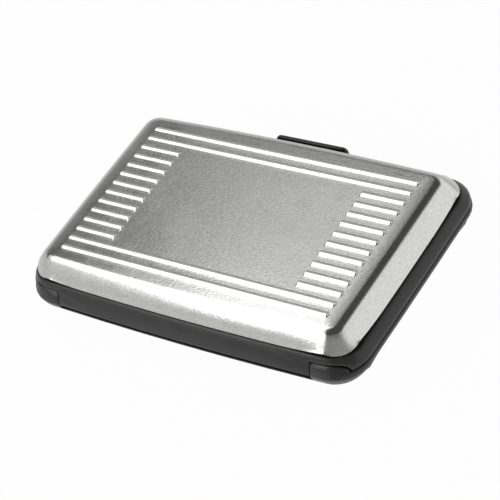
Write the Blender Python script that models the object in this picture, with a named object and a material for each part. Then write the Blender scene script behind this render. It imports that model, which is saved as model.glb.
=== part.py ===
"""Card case: two ribbed aluminium covers on plastic frames, hinged along one long side.

The lid is held by a sprung latch lever and opens onto a fan of card pockets.
X runs along the hinge, +Y points to the latch, +Z is up. The origin is on the table,
under the middle of the closed case.
"""

from math import acos, asin, atan2, cos, hypot, pi, radians, sin

import bmesh
import bpy
from mathutils import Matrix

MM = 0.001

# Closed case
CASE_LENGTH = 111.0 * MM
FRAME_DEPTH = 69.6 * MM
CASE_HEIGHT = 20.0 * MM
CORNER_RADIUS = 9.4 * MM
SIDE_BOW = 1.1 * MM
END_BOW = 0.2 * MM
CORNER_STEPS = 7
SIDE_STEPS = 6
END_STEPS = 2
GAP = 0.3 * MM

# Pressed covers
COVER_MARGIN = 2.1 * MM
COVER_THICKNESS = 0.6 * MM
COVER_DROP = 5.7 * MM
RIM_WIDTH = 5.1 * MM
CREASE_RADIUS = 3.0 * MM
CREASE_SWEEP = radians(46)
CORNER_LIFT = 0.9 * MM
CORNER_LIFT_RUN = 14.0 * MM

# Ribs pressed outwards in the covers
RIB_ROWS = 14
LONG_ROWS = 2
RIB_SIDE_MARGIN = 4.1 * MM
RIB_END_MARGIN = 3.8 * MM
SHORT_RIB_LENGTH = 14.3 * MM
RIB_WIDTH = 1.8 * MM
RIB_HEIGHT = 0.4 * MM
RIB_ROOT = 0.2 * MM
RIB_END_STEPS = 4

# Frames
FRAME_WALL = 3.8 * MM
SHOULDER_INSET = 1.9 * MM
SHOULDER_START = 1.2 * MM
SHOULDER_POWER = 1.5
PARTING_BEVEL = 0.3 * MM
LIP_HEIGHT = 1.4 * MM
FOOT_PROUD = 1.1 * MM
FOOT_ROUNDING = 0.6 * MM

# Skirt of the lid's frame, which hangs over the hinge
SKIRT_TOP_INSET = 1.6 * MM
SKIRT_FALL = 1.2 * MM
SKIRT_EDGE = 0.35 * MM
SKIRT_ROOT = 1.2 * MM
SKIRT_WALL = 0.9 * MM

# Hinge along the front
HINGE_SETBACK = 2.0 * MM
HINGE_RISE = 0.6 * MM
LID_OPENING = radians(60)
KNUCKLE_STRAIGHT = 4.2 * MM
BARREL_RADIUS = 1.2 * MM
KNUCKLE_PLAY = 0.5 * MM
BARREL_STEPS = 32
HINGE_PIN_RADIUS = 0.45 * MM
HINGE_PIN_LENGTH = 8.0 * MM
ROUND_STEPS = 16

# Latch at the back
LATCH_WIDTH = 24.0 * MM
LATCH_PROUD = 1.6 * MM
LATCH_PLATE = 1.3 * MM
LATCH_TOP = 3.0 * MM
LATCH_FOOT = 3.1 * MM
LATCH_CORNER = 1.6 * MM
LATCH_PIVOT_DEPTH = 1.4 * MM
LATCH_PIVOT_RISE = 1.3 * MM
LATCH_PIN_RADIUS = 0.4 * MM
LATCH_PIN_LENGTH = 20.6 * MM
BOSS_RADIUS = 1.1 * MM
BOSS_WEB = 0.8 * MM
BOSS_SPAN = 16.0 * MM
BOSS_LENGTH = 4.8 * MM
HOOK_BITE = 0.6 * MM
HOOK_THICKNESS = 0.7 * MM
CATCH_BAR_HEIGHT = 0.8 * MM
CATCH_BAR_DROP = 0.9 * MM
CATCH_POCKET_DEPTH = 1.7 * MM
CATCH_POCKET_HEIGHT = 1.6 * MM
NOTCH_BACK_WALL = 0.7 * MM

# Torsion spring on the latch pin
SPRING_WIRE_RADIUS = 0.2 * MM
SPRING_TURNS = 3
SPRING_PITCH = 0.75 * MM
SPRING_LEG = 1.1 * MM
SPRING_STEPS = 12

# Fan of card pockets
POCKETS = 7
LEAF_END_ROOM = 7.0 * MM
LEAF_FRONT_ROOM = 4.0 * MM
LEAF_BACK_ROOM = 5.2 * MM
LEAF_THICKNESS = 0.4 * MM
TAPE_THICKNESS = 0.3 * MM
TAPE_MARGIN = 5.0 * MM
FILM_THICKNESS = 0.4 * MM
FOLD_DEPTH = 1.2 * MM
GUSSET_STOP = 3.5 * MM

# Places worked out from the sizes above
MID = CASE_HEIGHT / 2
FRAME_X = CASE_LENGTH / 2
FRAME_Y = FRAME_DEPTH / 2
COVER_X = FRAME_X - COVER_MARGIN
COVER_Y = FRAME_Y - COVER_MARGIN
COVER_RADIUS = CORNER_RADIUS - COVER_MARGIN
FLAT_RISE = MID - RIB_HEIGHT
COVER_EDGE_RISE = FLAT_RISE - COVER_DROP
BAND_RISE = COVER_EDGE_RISE - GAP
PANEL_X = COVER_X - RIM_WIDTH
PANEL_Y = COVER_Y - RIM_WIDTH
RIB_REACH = PANEL_X - RIB_END_MARGIN
RIB_PITCH = 2 * (PANEL_Y - RIB_SIDE_MARGIN) / (RIB_ROWS - 1)
SIDE_RUN = FRAME_X - CORNER_RADIUS
HINGE_Y = -(FRAME_Y - HINGE_SETBACK)
HINGE_Z = MID + HINGE_RISE
BARREL_HALF = SIDE_RUN - KNUCKLE_STRAIGHT
LATCH_Y = FRAME_Y - LATCH_PIVOT_DEPTH
LATCH_Z = MID + LATCH_PIVOT_RISE
SPRING_COIL_RADIUS = LATCH_PIN_RADIUS + GAP + 1.25 * SPRING_WIRE_RADIUS
LEAF_X = FRAME_X - FRAME_WALL - LEAF_END_ROOM
LEAF_FRONT = FRAME_Y - FRAME_WALL - LEAF_FRONT_ROOM
LEAF_BACK = FRAME_Y - FRAME_WALL - LEAF_BACK_ROOM
CUT_MARGIN = 2.0 * MM


def material(name, colour, roughness, metallic):
    """Make a Principled material with one colour."""
    made = bpy.data.materials.new(name)
    made.use_nodes = True
    shader = made.node_tree.nodes["Principled BSDF"]
    shader.inputs["Base Color"].default_value = (*colour, 1.0)
    shader.inputs["Roughness"].default_value = roughness
    shader.inputs["Metallic"].default_value = metallic
    return made


def add_object(name, bm, finish, smooth_angle=radians(35)):
    """Turn a bmesh into an object, with its faces pointing out and round parts smooth."""
    bmesh.ops.remove_doubles(bm, verts=bm.verts, dist=0.001 * MM)
    bmesh.ops.recalc_face_normals(bm, faces=bm.faces)
    mesh = bpy.data.meshes.new(name)
    bm.to_mesh(mesh)
    bm.free()
    mesh.shade_smooth()
    mesh.set_sharp_from_angle(angle=smooth_angle)
    obj = bpy.data.objects.new(name, mesh)
    bpy.context.scene.collection.objects.link(obj)
    if finish:
        mesh.materials.append(finish)
    return obj


def as_tool(obj):
    """Mark an object as one that only shapes others."""
    obj.hide_render = True
    obj.display_type = "WIRE"
    return obj


def boolean(target, operation, tool):
    """Add a Boolean modifier to the target, with the tool as its other mesh."""
    modifier = target.modifiers.new(tool.name, "BOOLEAN")
    modifier.operation = operation
    modifier.solver = "EXACT"
    modifier.object = tool


def axis_empty(name, y, z):
    """Place an empty on a joint's axis."""
    empty = bpy.data.objects.new(name, None)
    empty.location = (0, y, z)
    bpy.context.scene.collection.objects.link(empty)
    return empty


def hang(obj, empty):
    """Parent an object to an axis, with its origin there and its shape where it was."""
    obj.data.transform(Matrix.Translation(-empty.location))
    obj.parent = empty


def side_bow(x):
    """Return how far a long side falls back from its middle, at a place along it."""
    return SIDE_BOW * (x / FRAME_X) ** 2


def end_bow(y):
    """Return how far a short end falls back from its middle, at a place along it."""
    return END_BOW * (y / FRAME_Y) ** 2


def side_stations():
    """Return the places along a long side where every outline has a point, from left to right."""
    middle = [BARREL_HALF * (2 * i / SIDE_STEPS - 1) for i in range(SIDE_STEPS + 1)]
    return [-SIDE_RUN] + middle + [SIDE_RUN]


def outline(half_x, back, front, radius):
    """Return a rounded rectangle with bowed sides in plan, anticlockwise from the front's right end."""
    turn = pi / 2 / CORNER_STEPS
    stations = side_stations()[1:-1]

    def corner(side_x, edge_y, side_y, start):
        centre_x = side_x * (half_x - radius)
        centre_y = edge_y - side_y * radius
        points = []
        for step in range(CORNER_STEPS + 1):
            angle = start + turn * step
            x = centre_x + radius * cos(angle)
            y = centre_y + radius * sin(angle)
            points.append((x - end_bow(y) * cos(angle), y - side_bow(x) * sin(angle)))
        return points

    def end(side_x, low, high):
        places = [low + (high - low) * i / (END_STEPS + 1) for i in range(1, END_STEPS + 1)]
        return [(side_x * (half_x - end_bow(y)), y) for y in places]

    low = front + radius
    high = back - radius
    points = corner(1, front, -1, -pi / 2) + end(1, low, high) + corner(1, back, 1, 0)
    points += [(x, back - side_bow(x)) for x in reversed(stations)]
    points += corner(-1, back, 1, pi / 2) + end(-1, high, low) + corner(-1, front, -1, pi)
    points += [(x, front + side_bow(x)) for x in stations]
    return points


def rounded_rectangle(half_x, top, foot, radius, steps):
    """Return a plain rounded rectangle, anticlockwise from its foot's right end."""
    corners = (
        (half_x - radius, foot + radius, -pi / 2),
        (half_x - radius, top - radius, 0),
        (-half_x + radius, top - radius, pi / 2),
        (-half_x + radius, foot + radius, pi),
    )
    points = []
    for centre_x, centre_y, start in corners:
        for step in range(steps + 1):
            angle = start + pi / 2 * step / steps
            points.append((centre_x + radius * cos(angle), centre_y + radius * sin(angle)))
    return points


def ring(points, z):
    """Lift a plan outline to a height."""
    return [(x, y, z) for x, y in points]


def loft(rings, closed):
    """Skin a list of equal rings. A closed loft joins the last ring to the first, an open one is capped."""
    bm = bmesh.new()
    loops = [[bm.verts.new(point) for point in points] for points in rings]
    pairs = list(zip(loops, loops[1:]))
    if closed:
        pairs.append((loops[-1], loops[0]))
    count = len(rings[0])
    for lower, upper in pairs:
        for i in range(count):
            j = (i + 1) % count
            bm.faces.new((lower[i], lower[j], upper[j], upper[i]))
    if not closed:
        bm.faces.new(loops[0])
        bm.faces.new(loops[-1])
    return bm


def prism_along_x(profile, spans):
    """Extrude a (y, z) profile along X, once for each (low, high) span."""
    bm = bmesh.new()
    for low, high in spans:
        ends = [[bm.verts.new((x, y, z)) for y, z in profile] for x in (low, high)]
        count = len(profile)
        for i in range(count):
            j = (i + 1) % count
            bm.faces.new((ends[0][i], ends[0][j], ends[1][j], ends[1][i]))
        bm.faces.new(ends[0])
        bm.faces.new(ends[1])
    return bm


def circle(y, z, radius, steps):
    """Return a circle's points in the YZ plane."""
    return [(y + radius * cos(2 * pi * i / steps), z + radius * sin(2 * pi * i / steps)) for i in range(steps)]


def rod(name, y, z, radius, spans, finish=None, steps=ROUND_STEPS):
    """Make round bars along X."""
    return add_object(name, prism_along_x(circle(y, z, radius, steps), spans), finish)


def block(name, low, high, finish=None):
    """Make a box between two corners."""
    profile = [(low[1], low[2]), (high[1], low[2]), (high[1], high[2]), (low[1], high[2])]
    return add_object(name, prism_along_x(profile, [(low[0], high[0])]), finish)


def both_ends(inner, outer):
    """Return a span at each end of the case."""
    return [(-outer, -inner), (inner, outer)]


# Cover rim: a crease arc from the flat, then a wide arc down to the edge.
# Insets run inwards from the cover's edge, drops run down from the flat.
class Rim:
    """The cover's edge in section, and any surface parallel to it."""

    def __init__(self):
        self.knee_inset = RIM_WIDTH - CREASE_RADIUS * sin(CREASE_SWEEP)
        self.knee_drop = CREASE_RADIUS * (1 - cos(CREASE_SWEEP))
        rise = COVER_DROP - self.knee_drop
        chord_angle = atan2(rise, self.knee_inset)
        self.end_angle = 2 * chord_angle - CREASE_SWEEP
        self.radius = hypot(rise, self.knee_inset) / (2 * sin(chord_angle - CREASE_SWEEP))
        self.centre_inset = self.knee_inset + self.radius * sin(CREASE_SWEEP)
        self.centre_drop = self.knee_drop + self.radius * cos(CREASE_SWEEP)

    def crease_point(self, share, depth):
        """Return (inset, drop) on the crease arc, at a depth under the outer surface."""
        angle = CREASE_SWEEP * share
        radius = CREASE_RADIUS - depth
        return RIM_WIDTH - radius * sin(angle), CREASE_RADIUS - radius * cos(angle)

    def skirt_point(self, drop, depth):
        """Return (inset, drop) on the wide arc, at a depth under the outer surface."""
        radius = self.radius - depth
        angle = acos((self.centre_drop - drop) / radius)
        return self.centre_inset - radius * sin(angle), drop

    def section(self, depth):
        """Return the whole section, from the flat to the edge."""
        points = [self.crease_point(share, depth) for share in (0, 0.25, 0.5, 0.75, 1.0)]
        knee = points[-1][1]
        points.append(self.skirt_point((knee + COVER_DROP) / 2, depth))
        points.append(self.skirt_point(COVER_DROP, depth))
        return points


RIM = Rim()


def corner_lift(x, y):
    """Return how far the cover's edge is drawn up: most beside each corner, and not at its tip."""
    past_x = abs(x) - (COVER_X - COVER_RADIUS)
    past_y = abs(y) - (COVER_Y - COVER_RADIUS)
    if past_x > 0 and past_y > 0:
        share = 1 - abs(sin(2 * atan2(past_y, past_x)))
    else:
        share = max(0.0, 1 + min(past_x, past_y) / CORNER_LIFT_RUN) ** 2
    return CORNER_LIFT * share


def cover(name, up, finish):
    """Make a pressed cover with its ribs. up is 1 for the lid's cover and -1 for the base's."""
    def level(point):
        inset, drop = point
        points = outline(COVER_X - inset, COVER_Y - inset, -(COVER_Y - inset), COVER_RADIUS - inset)
        fade = (drop / COVER_DROP) ** 3
        return [(x, y, MID + up * (FLAT_RISE - drop + fade * corner_lift(x, y))) for x, y in points]

    outside = [level(point) for point in RIM.section(0)]
    inside = [level(point) for point in RIM.section(COVER_THICKNESS)]
    made = add_object(name, loft(outside + inside[::-1], closed=False), finish)
    boolean(made, "UNION", ribs(name + "_ribs", up))
    return made


def rib_spans():
    """Return (low x, high x, y) for every rib of a cover."""
    spans = []
    for row in range(RIB_ROWS):
        y = ((RIB_ROWS - 1) / 2 - row) * RIB_PITCH
        if LONG_ROWS <= row < RIB_ROWS - LONG_ROWS:
            spans.append((-RIB_REACH, -RIB_REACH + SHORT_RIB_LENGTH, y))
            spans.append((RIB_REACH - SHORT_RIB_LENGTH, RIB_REACH, y))
        else:
            spans.append((-RIB_REACH, RIB_REACH, y))
    return spans


def ribs(name, up):
    """Make the ribs that stand proud of a cover, as rounded bars with round ends."""
    half = RIB_WIDTH / 2
    crown = ((half, -RIB_ROOT), (half, 0), (half * 0.72, RIB_HEIGHT * 0.62), (half * 0.3, RIB_HEIGHT))
    bm = bmesh.new()
    for low, high, y in rib_spans():
        loops = []
        for reach, rise in crown:
            points = []
            for centre, start in ((high - half, -pi / 2), (low + half, pi / 2)):
                for step in range(RIB_END_STEPS + 1):
                    angle = start + pi * step / RIB_END_STEPS
                    points.append((centre + reach * cos(angle), y + reach * sin(angle)))
            loops.append([bm.verts.new((x, v, MID + up * (FLAT_RISE + rise))) for x, v in points])
        count = len(loops[0])
        for lower, upper in zip(loops, loops[1:]):
            for i in range(count):
                j = (i + 1) % count
                bm.faces.new((lower[i], lower[j], upper[j], upper[i]))
        bm.faces.new(loops[0])
        bm.faces.new(loops[-1])
    return as_tool(add_object(name, bm, None))


def shoulder(rise):
    """Return the share by which a frame's side has drawn in, at a height from the parting line."""
    share = max(0.0, (rise - SHOULDER_START) / (BAND_RISE - SHOULDER_START))
    return share ** SHOULDER_POWER


def skirt_front(rise):
    """Return the skirt's front face, a plane from its lower edge up to the cover."""
    low_y = -(FRAME_Y + FOOT_PROUD)
    top_y = -(FRAME_Y - SKIRT_TOP_INSET)
    return low_y + (top_y - low_y) * (rise + SKIRT_FALL) / (BAND_RISE + SKIRT_FALL)


def foot_front(rise):
    """Return the lower frame's front face: on the skirt's plane at the top, then upright and rounded."""
    if rise < SKIRT_FALL:
        return skirt_front(-rise)
    return -(FRAME_Y + FOOT_PROUD) + FOOT_ROUNDING * shoulder(rise)


def frame_ring(name, up, front_face, finish):
    """Make a frame: an outer band, a ledge for the cover's edge and a lip that stands inside the cover."""
    first = outline(
        FRAME_X - PARTING_BEVEL,
        FRAME_Y - PARTING_BEVEL,
        front_face(GAP / 2),
        CORNER_RADIUS - PARTING_BEVEL,
    )
    levels = [ring(first, MID + up * GAP / 2)]
    rises = [GAP / 2 + PARTING_BEVEL, SKIRT_FALL]
    rises += [SHOULDER_START + (BAND_RISE - SHOULDER_START) * share for share in (0.2, 0.5, 0.75, 1.0)]
    for rise in rises:
        inset = SHOULDER_INSET * shoulder(rise)
        points = outline(FRAME_X - inset, FRAME_Y - inset, front_face(rise), CORNER_RADIUS - inset)
        levels.append(ring(points, MID + up * rise))
    lip_rise = COVER_EDGE_RISE + LIP_HEIGHT
    for rise, drop in ((BAND_RISE, COVER_DROP), (COVER_EDGE_RISE, COVER_DROP), (lip_rise, FLAT_RISE - lip_rise)):
        inset = COVER_MARGIN + RIM.skirt_point(drop, COVER_THICKNESS + GAP)[0]
        levels.append(ring(inset_outline(inset), MID + up * rise))
    levels.append(ring(inset_outline(FRAME_WALL), MID + up * lip_rise))
    levels.append(ring(inset_outline(FRAME_WALL), MID + up * GAP / 2))
    return add_object(name, loft(levels, closed=True), finish)


def skirt(name):
    """Make the skirt: bowed like the frame, from inside the frame's band down over the hinge."""
    fall = -SKIRT_FALL
    bm = bmesh.new()
    loops = []
    for x in side_stations()[1:-1]:
        back = side_bow(x)
        edge = skirt_front(fall) + back
        profile = (
            (skirt_front(SKIRT_ROOT) + back, SKIRT_ROOT),
            (skirt_front(0.5 * fall) + back, 0.5 * fall),
            (skirt_front(0.85 * fall) + back, 0.85 * fall),
            (edge + 0.15 * SKIRT_EDGE, fall - 0.35 * SKIRT_EDGE),
            (edge + 0.6 * SKIRT_EDGE, fall - 0.8 * SKIRT_EDGE),
            (edge + 1.5 * SKIRT_EDGE, fall - SKIRT_EDGE),
            (edge + SKIRT_WALL, fall - 0.7 * SKIRT_EDGE),
            (HINGE_Y - SKIRT_EDGE, HINGE_Z - MID),
            (HINGE_Y - SKIRT_EDGE, SKIRT_ROOT),
        )
        loops.append([bm.verts.new((x, y, MID + rise)) for y, rise in profile])
    count = len(loops[0])
    for left, right in zip(loops, loops[1:]):
        for i in range(count):
            j = (i + 1) % count
            bm.faces.new((left[i], left[j], right[j], right[i]))
    bm.faces.new(loops[0])
    bm.faces.new(loops[-1])
    return as_tool(add_object(name, bm, None))


def inset_outline(inset):
    """Return the frame's plain outline, drawn in all round."""
    return outline(FRAME_X - inset, FRAME_Y - inset, -(FRAME_Y - inset), CORNER_RADIUS - inset)


def upper_frame(finish):
    """Make the lid's frame, with the skirt, the hinge barrel and the latch's notch."""
    made = frame_ring("upper_frame", 1, skirt_front, finish)
    boolean(made, "UNION", skirt("skirt_tool"))
    barrel_span = [(-BARREL_HALF, BARREL_HALF)]
    barrel = rod("barrel_tool", HINGE_Y, HINGE_Z, BARREL_RADIUS, barrel_span, steps=BARREL_STEPS)
    boolean(made, "UNION", as_tool(barrel))
    relief_spans = both_ends(BARREL_HALF, FRAME_X + CUT_MARGIN)
    relief_radius = BARREL_RADIUS + KNUCKLE_PLAY
    relief = rod("upper_relief_tool", HINGE_Y, HINGE_Z, relief_radius, relief_spans, steps=BARREL_STEPS)
    boolean(made, "DIFFERENCE", as_tool(relief))
    bore_depth = BARREL_HALF - HINGE_PIN_LENGTH / 2 - GAP
    bore_spans = both_ends(bore_depth, BARREL_HALF + CUT_MARGIN)
    bores = rod("barrel_bore_tool", HINGE_Y, HINGE_Z, HINGE_PIN_RADIUS + GAP, bore_spans)
    boolean(made, "DIFFERENCE", as_tool(bores))
    notch_half = BOSS_SPAN / 2 + GAP
    notch_top = LATCH_Z + max(BOSS_RADIUS, SPRING_LEG) + 2 * GAP
    notch = block(
        "upper_notch_tool",
        (-notch_half, FRAME_Y - FRAME_WALL + NOTCH_BACK_WALL, MID - CUT_MARGIN),
        (notch_half, FRAME_Y + CUT_MARGIN, notch_top),
    )
    boolean(made, "DIFFERENCE", as_tool(notch))
    pin_half = LATCH_PIN_LENGTH / 2 + GAP
    pin_bore = rod("latch_bore_tool", LATCH_Y, LATCH_Z, LATCH_PIN_RADIUS + GAP, [(-pin_half, pin_half)])
    boolean(made, "DIFFERENCE", as_tool(pin_bore))
    return made


def hinge_arc(radius, start, stop, steps):
    """Return points on an arc round the hinge axis, from one angle to another in degrees."""
    angles = [radians(start + (stop - start) * i / steps) for i in range(steps + 1)]
    return [(HINGE_Y + radius * cos(angle), HINGE_Z + radius * sin(angle)) for angle in angles]


def trough_profile():
    """Return the section of the space that the barrel and the skirt's edge need as the lid swings."""
    edge_y = skirt_front(-SKIRT_FALL) - HINGE_Y
    fall = SKIRT_FALL + HINGE_RISE
    floor = HINGE_Z - hypot(edge_y, fall) - GAP
    front = -(FRAME_Y + FOOT_PROUD) - CUT_MARGIN
    over = MID + CUT_MARGIN
    back_y = edge_y + SIDE_BOW * (BARREL_HALF / FRAME_X) ** 2 + SKIRT_WALL
    back_z = -fall - 0.7 * SKIRT_EDGE
    swept = atan2(back_z, back_y) + LID_OPENING
    reach = hypot(back_y, back_z)
    wall = HINGE_Y + reach * cos(swept) + GAP
    profile = [(front, over), (front, floor), (wall, floor), (wall, HINGE_Z + reach * sin(swept) + 2 * GAP)]
    profile += hinge_arc(BARREL_RADIUS + GAP, -60, 20, 8)
    profile.append((HINGE_Y + BARREL_RADIUS + GAP, over))
    return profile


def knuckles(name):
    """Make a knuckle at each end of the hinge, trimmed to the skirt's plane and the frame's corners."""
    slope = atan2(skirt_front(BAND_RISE) - skirt_front(-SKIRT_FALL), BAND_RISE + SKIRT_FALL)
    normal = 180 - slope * 180 / pi
    front = -(FRAME_Y + FOOT_PROUD) - CUT_MARGIN
    root = MID - 1.5 * SKIRT_FALL
    profile = hinge_arc(BARREL_RADIUS, -20, normal, 14)
    profile += hinge_arc(BARREL_RADIUS + CUT_MARGIN, normal, normal, 1)[:1]
    profile += [(front, MID), (front, root), (HINGE_Y + BARREL_RADIUS / 2, root)]
    spans = both_ends(BARREL_HALF + GAP, FRAME_X + CUT_MARGIN)
    made = add_object(name, prism_along_x(profile, spans), None)
    inset = PARTING_BEVEL
    levels = []
    for rise, plane in ((-2 * SKIRT_FALL, -SKIRT_FALL), (-SKIRT_FALL, -SKIRT_FALL), (BAND_RISE, BAND_RISE)):
        points = outline(FRAME_X - inset, FRAME_Y - inset, skirt_front(plane), CORNER_RADIUS - inset)
        levels.append(ring(points, MID + rise))
    boolean(made, "INTERSECT", as_tool(add_object(name + "_outline", loft(levels, closed=False), None)))
    return as_tool(made)


def lower_frame(finish):
    """Make the base's frame, with a knuckle at each end of the hinge and the catch bar."""
    made = frame_ring("lower_frame", -1, foot_front, finish)
    trough_half = BARREL_HALF + GAP
    trough = add_object("trough_tool", prism_along_x(trough_profile(), [(-trough_half, trough_half)]), None)
    boolean(made, "DIFFERENCE", as_tool(trough))
    boolean(made, "UNION", knuckles("knuckle_tool"))
    bore_spans = both_ends(BARREL_HALF - CUT_MARGIN, BARREL_HALF + GAP + HINGE_PIN_LENGTH / 2)
    bores = rod("knuckle_bore_tool", HINGE_Y, HINGE_Z, HINGE_PIN_RADIUS + GAP, bore_spans)
    boolean(made, "DIFFERENCE", as_tool(bores))
    pocket_half = BOSS_SPAN / 2 + 2 * GAP
    pocket_y = FRAME_Y - CATCH_POCKET_DEPTH
    bar_top = MID - CATCH_BAR_DROP
    bar_foot = bar_top - CATCH_BAR_HEIGHT
    spaces = (("over", bar_top, MID + CUT_MARGIN), ("under", bar_foot - CATCH_POCKET_HEIGHT, bar_foot))
    for place, low, high in spaces:
        name = "catch_" + place + "_tool"
        tool = block(name, (-pocket_half, pocket_y, low), (pocket_half, FRAME_Y + CUT_MARGIN, high))
        boolean(made, "DIFFERENCE", as_tool(tool))
    return made


def latch_lever(finish):
    """Make the latch: a press plate on two bosses, with a hook under the catch bar."""
    inner = FRAME_Y + GAP
    outer = FRAME_Y + LATCH_PROUD
    low = MID - LATCH_FOOT
    high = MID + LATCH_TOP
    levels = []
    for y, inset in ((inner, 0), (outer - LATCH_PLATE * 0.35, 0), (outer, LATCH_PLATE * 0.35)):
        face = rounded_rectangle(LATCH_WIDTH / 2 - inset, high - inset, low + inset, LATCH_CORNER - inset, 4)
        levels.append([(x, y, z) for x, z in face])
    made = add_object("latch_lever", loft(levels, closed=False), finish)
    overlap = LATCH_PLATE / 2
    profile = [(inner + overlap, LATCH_Z - BOSS_WEB), (inner + overlap, LATCH_Z + BOSS_WEB)]
    web_angle = asin(BOSS_WEB / BOSS_RADIUS)
    steps = 12
    for step in range(steps + 1):
        angle = web_angle + (2 * pi - 2 * web_angle) * step / steps
        profile.append((LATCH_Y + BOSS_RADIUS * cos(angle), LATCH_Z + BOSS_RADIUS * sin(angle)))
    spans = both_ends(BOSS_SPAN / 2 - BOSS_LENGTH, BOSS_SPAN / 2)
    bosses = as_tool(add_object("boss_tool", prism_along_x(profile, spans), None))
    boolean(made, "UNION", bosses)
    hook_top = MID - CATCH_BAR_DROP - CATCH_BAR_HEIGHT - GAP
    hook_half = BOSS_SPAN / 2
    hook = block(
        "hook_tool",
        (-hook_half, FRAME_Y - HOOK_BITE, hook_top - HOOK_THICKNESS),
        (hook_half, inner + overlap, hook_top),
    )
    boolean(made, "UNION", as_tool(hook))
    bore = rod("boss_bore_tool", LATCH_Y, LATCH_Z, LATCH_PIN_RADIUS + GAP, [(-BOSS_SPAN, BOSS_SPAN)])
    boolean(made, "DIFFERENCE", as_tool(bore))
    return made


def latch_spring(finish):
    """Make the torsion spring: a coil round the pin, with both legs standing up behind the plate."""
    half_length = SPRING_TURNS * SPRING_PITCH / 2
    turns = SPRING_TURNS + 0.5
    points = [(-half_length, LATCH_Y - SPRING_COIL_RADIUS, LATCH_Z + SPRING_LEG)]
    count = round(turns * SPRING_STEPS)
    for i in range(count + 1):
        angle = pi + 2 * pi * turns * i / count
        x = -half_length + 2 * half_length * i / count
        points.append((x, LATCH_Y + SPRING_COIL_RADIUS * cos(angle), LATCH_Z + SPRING_COIL_RADIUS * sin(angle)))
    points.append((half_length, LATCH_Y + SPRING_COIL_RADIUS, LATCH_Z + SPRING_LEG))
    curve = bpy.data.curves.new("latch_spring", "CURVE")
    curve.dimensions = "3D"
    curve.bevel_depth = SPRING_WIRE_RADIUS
    curve.bevel_resolution = 1
    curve.use_fill_caps = True
    spline = curve.splines.new("POLY")
    spline.points.add(len(points) - 1)
    for target, point in zip(spline.points, points):
        target.co = (*point, 1.0)
    curve.materials.append(finish)
    made = bpy.data.objects.new("latch_spring", curve)
    bpy.context.scene.collection.objects.link(made)
    return made


def leaf_height(index):
    """Return the height of a leaf's middle. Leaf 0 lies on the base and the last one under the lid."""
    reach = FLAT_RISE - COVER_THICKNESS - GAP - TAPE_THICKNESS - GAP - LEAF_THICKNESS / 2
    return MID - reach + 2 * reach * index / POCKETS


def leaf(name, index, finish):
    """Make one flat leaf of the pocket fan."""
    z = leaf_height(index)
    half = LEAF_THICKNESS / 2
    return block(
        name,
        (-LEAF_X, -LEAF_FRONT, z - half),
        (LEAF_X, LEAF_BACK, z + half),
        finish,
    )


def tape(name, up, finish):
    """Make the tape that holds an outer leaf to its cover."""
    outer = FLAT_RISE - COVER_THICKNESS - GAP
    heights = sorted((MID + up * outer, MID + up * (outer - TAPE_THICKNESS)))
    half_x = LEAF_X - TAPE_MARGIN
    low = (-half_x, -LEAF_FRONT + TAPE_MARGIN, heights[0])
    high = (half_x, LEAF_BACK - TAPE_MARGIN, heights[1])
    return block(name, low, high, finish)


def pleats(near):
    """Return a pleated strip as (outward, z) points: in at each leaf and out between two leaves."""
    inner = []
    for i in range(2 * POCKETS + 1):
        z = leaf_height(i / 2)
        inner.append((near + (FOLD_DEPTH if i % 2 else 0), z))
    outer = [(out + FILM_THICKNESS, z) for out, z in inner]
    return inner + outer[::-1]


def end_gusset(name, side, finish):
    """Make the pleated film that closes the pockets at one short end."""
    bm = bmesh.new()
    strip = pleats(LEAF_X + GAP)
    ends = [[bm.verts.new((side * x, y, z)) for x, z in strip] for y in (-LEAF_FRONT, LEAF_BACK - GUSSET_STOP)]
    skin_strip(bm, ends)
    return add_object(name, bm, finish, smooth_angle=radians(10))


def front_gusset(name, finish):
    """Make the pleated film that closes the pockets along the hinge side."""
    bm = bmesh.new()
    strip = pleats(LEAF_FRONT + GAP)
    half = LEAF_X - GAP
    ends = [[bm.verts.new((x, -y, z)) for y, z in strip] for x in (-half, half)]
    skin_strip(bm, ends)
    return add_object(name, bm, finish, smooth_angle=radians(10))


def skin_strip(bm, ends):
    """Close a pleated strip: its long faces, then its two zigzag ends, quad by quad."""
    count = len(ends[0])
    for i in range(count):
        j = (i + 1) % count
        bm.faces.new((ends[0][i], ends[0][j], ends[1][j], ends[1][i]))
    for end in ends:
        for i in range(count // 2 - 1):
            bm.faces.new((end[i], end[i + 1], end[count - 2 - i], end[count - 1 - i]))


def hinge_pins(finish):
    """Make the pin at each end of the hinge, half in the knuckle and half in the barrel."""
    middle = BARREL_HALF + GAP / 2
    half = HINGE_PIN_LENGTH / 2
    for name, side in (("hinge_pin_left", -1), ("hinge_pin_right", 1)):
        span = sorted((side * (middle - half), side * (middle + half)))
        rod(name, HINGE_Y, HINGE_Z, HINGE_PIN_RADIUS, [span], finish)


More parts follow.
